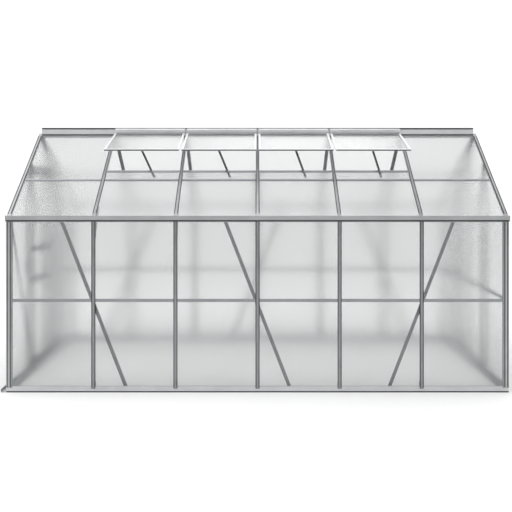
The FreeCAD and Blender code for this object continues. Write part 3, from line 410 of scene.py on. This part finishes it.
# Painted shade: this black rubber also draws the dark lines where the frame's edges are only in shade.
rubber_and_painted_shade = fine_grain("black EPDM rubber", "#1B1C1C", "#2C2D2D", 0.0015, (0.55, 0.75))
runs = []
for wall in (-1, 1):
    face = Y * wall
    for x in BARS:
        for edge in (-EDGE, EDGE):
            foot = UPS + Vector((x + edge, wall * HALF_WIDE, POST_FOOT))
            runs.append((foot, foot + Z * (POST_HEAD - POST_FOOT), X, face, BEAD, PROUD))
            # beside a vent the bead is narrower and further in, so the vent shuts past it
            beside_vent = wall < 0 and abs(x + edge) < VENTS_END
            start = BELOW_VENTS if beside_vent else RAFTER_START
            top, fall, away = roof_spot(x + edge, wall, start)
            runs.append((top, top + fall * (RAFTER_END - start), X, away, BEAD, PROUD))
            if beside_vent:
                top, fall, away = roof_spot(x + edge / 2, wall, RAFTER_START)
                length = start - RAFTER_START
                runs.append((top, top + fall * length, X, away, NARROW_BEAD, PROUD))
    for end in (-1, 1):
        for inset, width in CORNER_LINES:
            foot = UPS + Vector((end * (HALF_LONG - inset), wall * HALF_WIDE, CORNER_FOOT))
            runs.append((foot, foot + Z * CORNER_RUN, X, face, width, PROUD))
        for inset, width in VERGE_LINES:
            top, fall, away = roof_spot(end * (HALF_LONG - inset), wall, VERGE_START)
            runs.append((top, top + fall * VERGE_RUN, X, away, width, PROUD))
    # under the base rail and along the gutter's lower edge: painted shade, dark rubber lines where the
    # rail's foot and the gutter's underside fall in shadow
    span = X * (HALF_LONG - 0.003)
    for out, height, width, proud in EDGE_SHADE_LINES:
        middle = UPS + Vector((0, wall * (HALF_WIDE + out), height))
        runs.append((middle - span, middle + span, Z, face, width, proud))
    # in the ridge's seats, except under the vents, and along the edges of its top plate: painted shade,
    # dark rubber lines where the empty hinge channel and the plate's overhang fall in shadow
    ridge_span = X * RIDGE_HALF
    seat, fall, away = roof_spot(0, wall, SEAT_AT)
    if wall > 0:
        runs.append((seat - ridge_span, seat + ridge_span, fall, away, *SEAT_SHADE_LINE))
    else:
        for end in (-1, 1):
            inner, outer = seat + X * end * VENTS_END, seat + ridge_span * end
            runs.append((inner, outer, fall, away, *SEAT_SHADE_LINE))
    plate = UPS + Vector((0, wall * PLATE_AT[0], PLATE_AT[1]))
    runs.append((plate - ridge_span, plate + ridge_span, Z, face, *PLATE_SHADE_LINE))
    plate = UPS + Vector((0, wall * PLATE_END_AT[0], PLATE_END_AT[1]))
    for end in (-1, 1):
        inner, outer = plate + X * end * VENTS_END, plate + ridge_span * end
        runs.append((inner, outer, Z, face, *PLATE_END_SHADE_LINE))
for gable in (-1, 1):
    face = X * gable
    for y in GABLE_BARS:
        for edge in (-EDGE, EDGE):
            foot = UPS + Vector((gable * HALF_LONG, y + edge, POST_FOOT))
            runs.append((foot, foot + Z * (GABLE_POST_HEAD - POST_FOOT), Y, face, BEAD, PROUD))
    for side in (-1, 1):
        inset, width = GABLE_LINE
        foot = UPS + Vector((gable * HALF_LONG, side * (HALF_WIDE - inset), CORNER_FOOT))
        runs.append((foot, foot + Z * CORNER_RUN, Y, face, width, PROUD))
beads("glazing_gaskets_and_shade_lines", runs, rubber_and_painted_shade, "root")


# ---------------------------------------------------------------------------
# Corner mouldings
# A slim half-round aluminium moulding down the long-wall face of each corner post, part of the same
# extrusion. Its crown catches more light than the flat beside it, and its tone is painted paler than
# the post's as a painted highlight.

moulding_painted_light = extruded_aluminium("mill aluminium with painted light, corner mouldings", UPRIGHT,
                           "#C4C6C8", "#DEE0E1", (0.42, 0.56))
COVER_INSET, COVER_WIDTH, COVER_PROUD = 0.0200, 0.0085, 0.0014
runs = []
for wall in (-1, 1):
    for end in (-1, 1):
        foot = UPS + Vector((end * (HALF_LONG - COVER_INSET), wall * HALF_WIDE, CORNER_FOOT))
        runs.append((foot, foot + Z * CORNER_RUN, X, Y * wall, COVER_WIDTH, COVER_PROUD))
beads("corner_mouldings", runs, moulding_painted_light, "root")


# ---------------------------------------------------------------------------
# Vent seals
# The same rubber bead, once under each vent's top rail and once along its lower edge. It moves with the
# vent and closes the joint when the vent is shut; its dark line under the rail and along the lower edge
# is partly a real seal and partly painted shade.

HINGE = Vector((0, -0.010, 1.966))
OPENED = Matrix.Rotation(math.radians(19), 3, -X)
VENT_REACH = 0.2895
SEAL_UNDER_RAIL = (0.0275, 0.0123, 0.0052, False)   # down, out, width, lies on the edge
SEAL_LOWER_EDGE = (0.5650, 0.0066, 0.0096, True)
for vent in range(1, 5):
    x = -1.5 * PITCH + PITCH * (vent - 1)
    runs = []
    for down, out, width, on_edge in (SEAL_UNDER_RAIL, SEAL_LOWER_EDGE):
        at, fall, away = roof_spot(x, -1, down, out)
        at = OPENED @ (at - HINGE) + HINGE
        fall, away = OPENED @ fall, OPENED @ away
        reach = X * VENT_REACH
        side, up = (away, fall) if on_edge else (fall, away)
        runs.append((at - reach, at + reach, side, up, width, PROUD))
    beads(f"vent_{vent}_seals_and_shade_lines", runs, rubber_and_painted_shade, f"vent_{vent}")


# ---------------------------------------------------------------------------
# Bolts and washers
# M6 hexagon set screws with plain washers, zinc plated, at the ends of the braces, the
# feet of the cleats and on the eave gussets. One shape is placed on every hole.

def bolt_tree():
    """Geometry nodes: a hexagon head on a washer at every point, turned along its facing."""
    tree = bpy.data.node_groups.new("hexagon bolts on points", "GeometryNodeTree")
    face = tree.interface
    face.new_socket("Points", in_out="INPUT", socket_type="NodeSocketGeometry")
    for label, value in (("Head radius", 0.0058), ("Head height", 0.0040),
                         ("Washer radius", 0.0080), ("Washer thickness", 0.0014)):
        face.new_socket(label, in_out="INPUT", socket_type="NodeSocketFloat").default_value = value
    face.new_socket("Finish", in_out="INPUT", socket_type="NodeSocketMaterial")
    face.new_socket("Bolts", in_out="OUTPUT", socket_type="NodeSocketGeometry")
    given = add(tree, "NodeGroupInput").outputs
    head = add(tree, "GeometryNodeMeshCylinder",
               {"Radius": given["Head radius"], "Depth": given["Head height"]}, {"Vertices": 6})
    disc = add(tree, "GeometryNodeMeshCylinder",
               {"Radius": given["Washer radius"], "Depth": given["Washer thickness"]}, {"Vertices": 20})
    crown = add(tree, "GeometryNodeMeshCone", {"Radius Bottom": given["Head radius"]},
                {"Vertices": 18, "Radius Top": 0.0040, "Depth": 0.0008})
    tall, thick = given["Head height"], given["Washer thickness"]
    half_head = add(tree, "ShaderNodeMath", {0: tall}, {1: 0.5}, operation="MULTIPLY")
    half_disc = add(tree, "ShaderNodeMath", {0: thick}, {1: 0.5}, operation="MULTIPLY")
    head_up = add(tree, "ShaderNodeMath", {0: half_head.outputs[0], 1: thick}, operation="ADD")
    crown_up = add(tree, "ShaderNodeMath", {0: tall, 1: thick}, operation="ADD")
    lifted = []
    for shape, rise in ((head, head_up.outputs[0]), (disc, half_disc.outputs[0]),
                        (crown, crown_up.outputs[0])):
        offset = add(tree, "ShaderNodeCombineXYZ", {"Z": rise})
        lifted.append(add(tree, "GeometryNodeTransform",
                          {"Geometry": shape.outputs["Mesh"], "Translation": offset.outputs["Vector"]}))
    whole = add(tree, "GeometryNodeJoinGeometry")
    for part in lifted:
        tree.links.new(part.outputs["Geometry"], whole.inputs["Geometry"])
    facing = add(tree, "GeometryNodeInputNamedAttribute", inputs={"Name": "facing"},
                 data_type="FLOAT_VECTOR")
    turned = add(tree, "FunctionNodeAlignRotationToVector",
                 {"Vector": facing.outputs["Attribute"]}, axis="Z")
    placed = add(tree, "GeometryNodeInstanceOnPoints",
                 {"Points": given["Points"], "Instance": whole.outputs["Geometry"],
                  "Rotation": turned.outputs["Rotation"]})
    real = add(tree, "GeometryNodeRealizeInstances", {"Geometry": placed.outputs["Instances"]})
    painted = add(tree, "GeometryNodeSetMaterial",
                  {"Geometry": real.outputs["Geometry"], "Material": given["Finish"]})
    result = add(tree, "NodeGroupOutput")
    tree.links.new(painted.outputs["Geometry"], result.inputs["Bolts"])
    return tree


def grown(name, tree, mesh, values, body):
    """A plain mesh piece from a geometry nodes tree run on a mesh of points."""
    seed = bpy.data.objects.new(name + " points", mesh)
    bpy.context.scene.collection.objects.link(seed)
    modifier = seed.modifiers.new("nodes", "NODES")
    modifier.node_group = tree
    for socket in tree.interface.items_tree:
        if socket.item_type == "SOCKET" and socket.in_out == "INPUT" and socket.name in values:
            modifier[socket.identifier] = values[socket.name]
    depsgraph = bpy.context.evaluated_depsgraph_get()
    result = bpy.data.meshes.new_from_object(seed.evaluated_get(depsgraph))
    seed.modifiers.remove(modifier)
    bpy.data.objects.remove(seed)
    piece = bpy.data.objects.new(name, result)
    bpy.context.scene.collection.objects.link(piece)
    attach(piece, body)
    return piece


def point_mesh(name, spots):
    """A mesh of loose points, each with the way it faces."""
    mesh = bpy.data.meshes.new(name)
    mesh.from_pydata([place for place, _ in spots], [], [])
    facing = mesh.attributes.new("facing", "FLOAT_VECTOR", "POINT")
    for index, (_, way) in enumerate(spots):
        facing.data[index].vector = way
    return mesh


BACK = 0.022             # the inner face of a post, behind the outer one
BRACE_LOW, BRACE_HIGH = 0.0400, 1.2397
BRACE_OUT = 0.2329       # brace hole, sideways from the middle of its post
CLEAT_BOLT = 0.0320
GUSSET_SIDE, GUSSET_BACK = 0.010, 0.0145
GUSSET_HEIGHTS, GUSSET_DOWN = (1.1500, 1.2100), 0.989
LONG_BRACES = ((-2 * PITCH, -1), (0.0, -1), (2 * PITCH, 1))   # post, side the foot leans to
GABLE_BRACE_ENDS = ((0.3375, BRACE_LOW), (0.8625, BRACE_HIGH))
spots = []
for wall in (-1, 1):
    inside = wall * (HALF_WIDE - BACK)
    for x, lean in LONG_BRACES:
        for height, way in ((BRACE_LOW, -1), (BRACE_HIGH, 1)):
            across = x + way * lean * BRACE_OUT * (1 if wall < 0 else -1)
            spots.append((UPS + Vector((across, inside, height)), Y * -wall))
    for y, height in GABLE_BRACE_ENDS:
        spots.append((UPS + Vector((-HALF_LONG + BACK, wall * y, height)), X))
    for x in BARS:
        spots.append((UPS + Vector((x, inside, CLEAT_BOLT)), Y * -wall))
        for height in GUSSET_HEIGHTS:
            place = Vector((x + GUSSET_SIDE, wall * (HALF_WIDE - GUSSET_BACK), height))
            spots.append((UPS + place, X))
        at, _, _ = roof_spot(x, wall, GUSSET_DOWN, -GUSSET_BACK)
        spots.append((at + X * GUSSET_SIDE, X))
    for y in GABLE_BARS:
        spots.append((UPS + Vector((wall * (HALF_LONG - BACK), y, CLEAT_BOLT)), X * -wall))
grown("brace_and_gusset_bolts", bolt_tree(), point_mesh("bolt points", spots),
      {"Finish": zinc}, "root")


# ---------------------------------------------------------------------------
# Door handle
# A moulded bow grip on two round feet, screwed to the leaf's opening stile from
# behind. It is black plastic with a faint grain.

GRIP_Z, GRIP_REACH, GRIP_RADIUS = 0.845, 0.052, 0.0056   # reach: half the bow's height
FOOT_RADIUS, FOOT_THICK = 0.0072, 0.0024
STILE_FACE = -HALF_LONG - 0.018 + MIDDLE
handle_low, handle_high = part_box("door_handle")
grip_y = (handle_low.y + handle_high.y) / 2
path = bpy.data.curves.new("handle path", "CURVE")
path.dimensions = "3D"
path.bevel_depth, path.bevel_resolution = GRIP_RADIUS, 4
path.resolution_u, path.use_fill_caps = 8, True
bow = path.splines.new("NURBS")
half_bow = [(0.0, 1.0), (0.006, 1.0), (0.0098, 0.86), (0.0102, 0.4)]   # out, along
stations = [(out, -along) for out, along in half_bow] + half_bow[::-1]
bow.points.add(len(stations) - 1)
for point, (out, along) in zip(bow.points, stations):
    point.co = (STILE_FACE - out, grip_y, GRIP_Z + along * GRIP_REACH, 1)
bow.order_u, bow.use_endpoint_u = 3, True
curve = bpy.data.objects.new("handle path", path)
bpy.context.scene.collection.objects.link(curve)
bent = curve.evaluated_get(bpy.context.evaluated_depsgraph_get())
grip_mesh = bpy.data.meshes.new_from_object(bent)
bpy.data.objects.remove(curve)
grip_shape = bmesh.new()
grip_shape.from_mesh(grip_mesh)
for end in (-1, 1):
    place = (STILE_FACE - FOOT_THICK / 2, grip_y, GRIP_Z + end * GRIP_REACH)
    turn = Matrix.Translation(place) @ Matrix.Rotation(math.pi / 2, 4, "Y")
    bmesh.ops.create_cone(grip_shape, cap_ends=True, segments=28, radius1=FOOT_RADIUS,
                          radius2=FOOT_RADIUS, depth=FOOT_THICK, matrix=turn)
bmesh.ops.recalc_face_normals(grip_shape, faces=grip_shape.faces)
grip_shape.to_mesh(grip_mesh)
grip_shape.free()
for face in grip_mesh.polygons:
    face.use_smooth = True
grip_mesh.set_sharp_from_angle(angle=math.radians(40))
grip_mesh.materials.clear()
grip_mesh.materials.append(black_plastic)
grip = bpy.data.objects.new("door_bow_handle", grip_mesh)
bpy.context.scene.collection.objects.link(grip)
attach(grip, "door")
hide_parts("door_handle")


# ---------------------------------------------------------------------------
# Studio
# A plain pale floor, soft light all round with a brighter panel high behind the object,
# and a level camera in front of the middle.

REACH = 60.0
floor_mesh = bpy.data.meshes.new("floor")
floor_corners = [(x * REACH, y * REACH, 0) for x, y in ((-1, -1), (1, -1), (1, 1), (-1, 1))]
floor_mesh.from_pydata(floor_corners, [], [(0, 1, 2, 3)])
floor = bpy.data.objects.new("floor", floor_mesh)
bpy.context.scene.collection.objects.link(floor)
floor_paint, _, _ = new_material("pale studio floor",
                                 {"Base Color": linear("#F4F4F4"), "Roughness": 0.9})
floor_mesh.materials.append(floor_paint)

world = bpy.data.worlds.new("studio")
bpy.context.scene.world = world
world.use_nodes = True
sky = world.node_tree
backdrop = sky.nodes["Background"]
way = add(sky, "ShaderNodeTexCoord")
split = add(sky, "ShaderNodeSeparateXYZ", {"Vector": way.outputs["Generated"]})
front_side = add(sky, "ShaderNodeMapRange", {"Value": split.outputs["Y"]},
                 {"From Min": -0.95, "From Max": 0.1, "To Min": 0.18, "To Max": 1.0},
                 interpolation_type="SMOOTHSTEP")
upward = add(sky, "ShaderNodeMapRange", {"Value": split.outputs["Z"]},
             {"From Min": 0.1, "From Max": 0.6, "To Min": 0.0, "To Max": 1.0},
             interpolation_type="SMOOTHSTEP")
base_light = add(sky, "ShaderNodeMath", {0: front_side.outputs["Result"], 1: upward.outputs["Result"]},
                 operation="MAXIMUM")
panel_side = add(sky, "ShaderNodeMapRange", {"Value": split.outputs["X"]},
                 {"From Min": -0.20, "From Max": 0.05, "To Min": 0.0, "To Max": 0.6},
                 interpolation_type="SMOOTHSTEP")
panel_height = add(sky, "ShaderNodeMapRange", {"Value": split.outputs["Z"]},
                   {"From Min": 0.30, "From Max": 0.48, "To Min": 0.0, "To Max": 1.0},
                   interpolation_type="SMOOTHSTEP")
panel_back = add(sky, "ShaderNodeMapRange", {"Value": split.outputs["Y"]},
                 {"From Min": 0.5, "From Max": 0.75, "To Min": 0.0, "To Max": 1.0},
                 interpolation_type="SMOOTHSTEP")
panel = add(sky, "ShaderNodeMath", {0: panel_side.outputs["Result"], 1: panel_height.outputs["Result"]},
            operation="MULTIPLY")
panel = add(sky, "ShaderNodeMath", {0: panel.outputs["Value"], 1: panel_back.outputs["Result"]},
            operation="MULTIPLY")
studio = add(sky, "ShaderNodeMath", {0: base_light.outputs["Value"], 1: panel.outputs["Value"]},
             operation="ADD")
rays = add(sky, "ShaderNodeLightPath")
straight = add(sky, "ShaderNodeMath",
               {0: rays.outputs["Is Camera Ray"], 1: rays.outputs["Is Transmission Ray"]},
               operation="MAXIMUM")
glow = add(sky, "ShaderNodeMath", {0: studio.outputs["Value"], 1: straight.outputs["Value"]},
           operation="MAXIMUM")
sky.links.new(glow.outputs["Value"], backdrop.inputs["Color"])
backdrop.inputs["Strength"].default_value = 1.12

soft_box = bpy.data.lights.new("soft box overhead", "AREA")
soft_box.shape = "RECTANGLE"
soft_box.size, soft_box.size_y, soft_box.energy = 5.0, 3.0, 120.0
soft_lamp = bpy.data.objects.new("soft box overhead", soft_box)
soft_lamp.location = (-1.0, -1.5, 5.5)
soft_lamp.rotation_euler = (math.radians(12), math.radians(-8), 0)
bpy.context.scene.collection.objects.link(soft_lamp)

bpy.context.scene.view_settings.view_transform = "Standard"

lens = bpy.data.cameras.new("camera")
lens.lens, lens.sensor_width = 58.4, 36.0
lens.shift_x, lens.shift_y = -0.003, -0.175
camera = bpy.data.objects.new("camera", lens)
camera.location = (MIDDLE, -6.995, 1.652)
camera.rotation_euler = (math.pi / 2, 0, 0)
bpy.context.scene.collection.objects.link(camera)
bpy.context.scene.camera = camera
